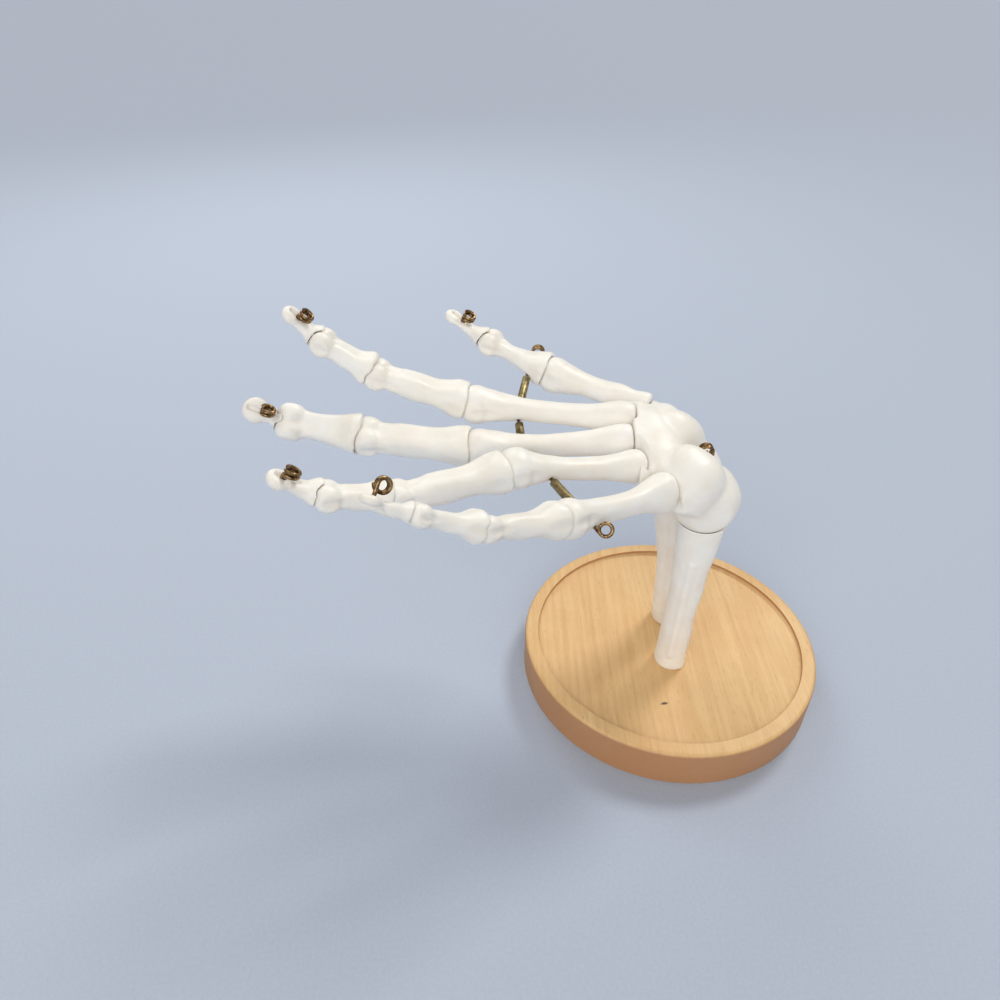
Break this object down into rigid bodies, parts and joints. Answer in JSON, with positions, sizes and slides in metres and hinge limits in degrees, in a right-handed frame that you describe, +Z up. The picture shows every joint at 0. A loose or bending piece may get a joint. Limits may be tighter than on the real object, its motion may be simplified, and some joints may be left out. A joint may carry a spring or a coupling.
{
  "type": "skeleton hand jewelry holder",
  "caption": "Life-size skeleton hand in white plastic, palm up on a round wooden dish, for hanging rings and chains on its jointed fingers.",
  "frame": {"origin": "centre of the round base on its underside", "axes": "+Z up from the base; the fingers point along -X with the palm up; the thumb is on the +Y side"},
  "size_m": [0.2206, 0.1315, 0.1499],
  "materials": {
    "wood": "satin",
    "bone_plastic": "satin",
    "spacer_brass": "aged",
    "wire_bronze": "dark antique",
    "screw_steel": "plain"
  },
  "bodies": {
    "stand": {"base_disc": "wood", "forearm_screws": "screw_steel", "ulna_stub": "bone_plastic", "radius_stub": "bone_plastic"},
    "palm": {"index_metacarpal": "bone_plastic", "middle_metacarpal": "bone_plastic", "ring_metacarpal": "bone_plastic", "little_metacarpal": "bone_plastic", "thumb_metacarpal": "bone_plastic", "thumb_proximal": "bone_plastic", "carpal_block": "bone_plastic", "wrist_wire": "wire_bronze", "crosswise_wire": "wire_bronze", "thumb_index_spacer": "spacer_brass", "index_middle_spacer": "spacer_brass", "middle_ring_spacer": "spacer_brass", "ring_little_spacer": "spacer_brass", "index_metacarpal_wire": "wire_bronze", "middle_metacarpal_wire": "wire_bronze", "ring_metacarpal_wire": "wire_bronze", "little_metacarpal_wire": "wire_bronze", "thumb_metacarpal_wire": "wire_bronze", "thumb_proximal_wire": "wire_bronze"},
    "index_proximal_bone": {"index_proximal": "bone_plastic", "index_proximal_wire": "wire_bronze"},
    "index_middle_bone": {"index_middle": "bone_plastic", "index_middle_wire": "wire_bronze"},
    "index_distal_bone": {"index_distal": "bone_plastic", "index_tip_wire": "wire_bronze"},
    "middle_proximal_bone": {"middle_proximal": "bone_plastic", "middle_proximal_wire": "wire_bronze"},
    "middle_middle_bone": {"middle_middle": "bone_plastic", "middle_middle_wire": "wire_bronze"},
    "middle_distal_bone": {"middle_distal": "bone_plastic", "middle_tip_wire": "wire_bronze"},
    "ring_proximal_bone": {"ring_proximal": "bone_plastic", "ring_proximal_wire": "wire_bronze"},
    "ring_middle_bone": {"ring_middle": "bone_plastic", "ring_middle_wire": "wire_bronze"},
    "ring_distal_bone": {"ring_distal": "bone_plastic", "ring_tip_wire": "wire_bronze"},
    "little_proximal_bone": {"little_proximal": "bone_plastic", "little_proximal_wire": "wire_bronze"},
    "little_middle_bone": {"little_middle": "bone_plastic", "little_middle_wire": "wire_bronze"},
    "little_distal_bone": {"little_distal": "bone_plastic", "little_tip_wire": "wire_bronze"},
    "thumb_distal_bone": {"thumb_distal": "bone_plastic", "thumb_tip_wire": "wire_bronze"}
  },
  "joints": [
    {"name": "wrist", "type": "hinge", "parent": "stand", "child": "palm", "pos_m": [0.0005, 0, 0.095], "axis": [0, 1, 0], "range_deg": [-10, 80]},
    {"name": "index_knuckle", "type": "hinge", "parent": "palm", "child": "index_proximal_bone", "pos_m": [-0.08027, 0.02044, 0.11474], "axis": [0.0663, 0.9978, 0], "range_deg": [-25, 40]},
    {"name": "index_middle_joint", "type": "hinge", "parent": "index_proximal_bone", "child": "index_middle_bone", "pos_m": [-0.11583, 0.02337, 0.12524], "axis": [0.0819, 0.9966, -0.001], "range_deg": [-12, 50]},
    {"name": "index_end_joint", "type": "hinge", "parent": "index_middle_bone", "child": "index_distal_bone", "pos_m": [-0.1344, 0.02491, 0.13675], "axis": [0.0819, 0.9966, -0.001], "range_deg": [-10, 40]},
    {"name": "middle_knuckle", "type": "hinge", "parent": "palm", "child": "middle_proximal_bone", "pos_m": [-0.07848, 0.00388, 0.10609], "axis": [-0.0262, 0.9997, 0], "range_deg": [-25, 40]},
    {"name": "middle_middle_joint", "type": "hinge", "parent": "middle_proximal_bone", "child": "middle_middle_bone", "pos_m": [-0.11803, 0.00422, 0.11053], "axis": [0.0463, 0.9386, 0.3419], "range_deg": [-8, 50]},
    {"name": "middle_end_joint", "type": "hinge", "parent": "middle_middle_bone", "child": "middle_distal_bone", "pos_m": [-0.14429, 0.00443, 0.11587], "axis": [0.1583, 0.6398, 0.752], "range_deg": [-8, 40]},
    {"name": "ring_knuckle", "type": "hinge", "parent": "palm", "child": "ring_proximal_bone", "pos_m": [-0.06588, -0.01846, 0.11251], "axis": [-0.3005, 0.9438, -0.1375], "range_deg": [-20, 45]},
    {"name": "ring_middle_joint", "type": "hinge", "parent": "ring_proximal_bone", "child": "ring_middle_bone", "pos_m": [-0.10305, -0.03224, 0.11045], "axis": [-0.3383, 0.9319, -0.1311], "range_deg": [-12, 50]},
    {"name": "ring_end_joint", "type": "hinge", "parent": "ring_middle_bone", "child": "ring_distal_bone", "pos_m": [-0.12342, -0.03894, 0.11535], "axis": [-0.3383, 0.9319, -0.1311], "range_deg": [-15, 35]},
    {"name": "little_knuckle", "type": "hinge", "parent": "palm", "child": "little_proximal_bone", "pos_m": [-0.05006, -0.04165, 0.10961], "axis": [-0.5672, 0.7273, -0.3865], "range_deg": [-25, 40]},
    {"name": "little_middle_joint", "type": "hinge", "parent": "little_proximal_bone", "child": "little_middle_bone", "pos_m": [-0.07503, -0.05556, 0.11651], "axis": [-0.5281, 0.7528, -0.393], "range_deg": [-12, 50]},
    {"name": "little_end_joint", "type": "hinge", "parent": "little_middle_bone", "child": "little_distal_bone", "pos_m": [-0.09276, -0.06276, 0.12652], "axis": [-0.5281, 0.7528, -0.393], "range_deg": [-8, 40]},
    {"name": "thumb_end_joint", "type": "hinge", "parent": "palm", "child": "thumb_distal_bone", "pos_m": [-0.07529, 0.05214, 0.12517], "axis": [0.3781, 0.9256, 0.0207], "range_deg": [-10, 45]}
  ]
}
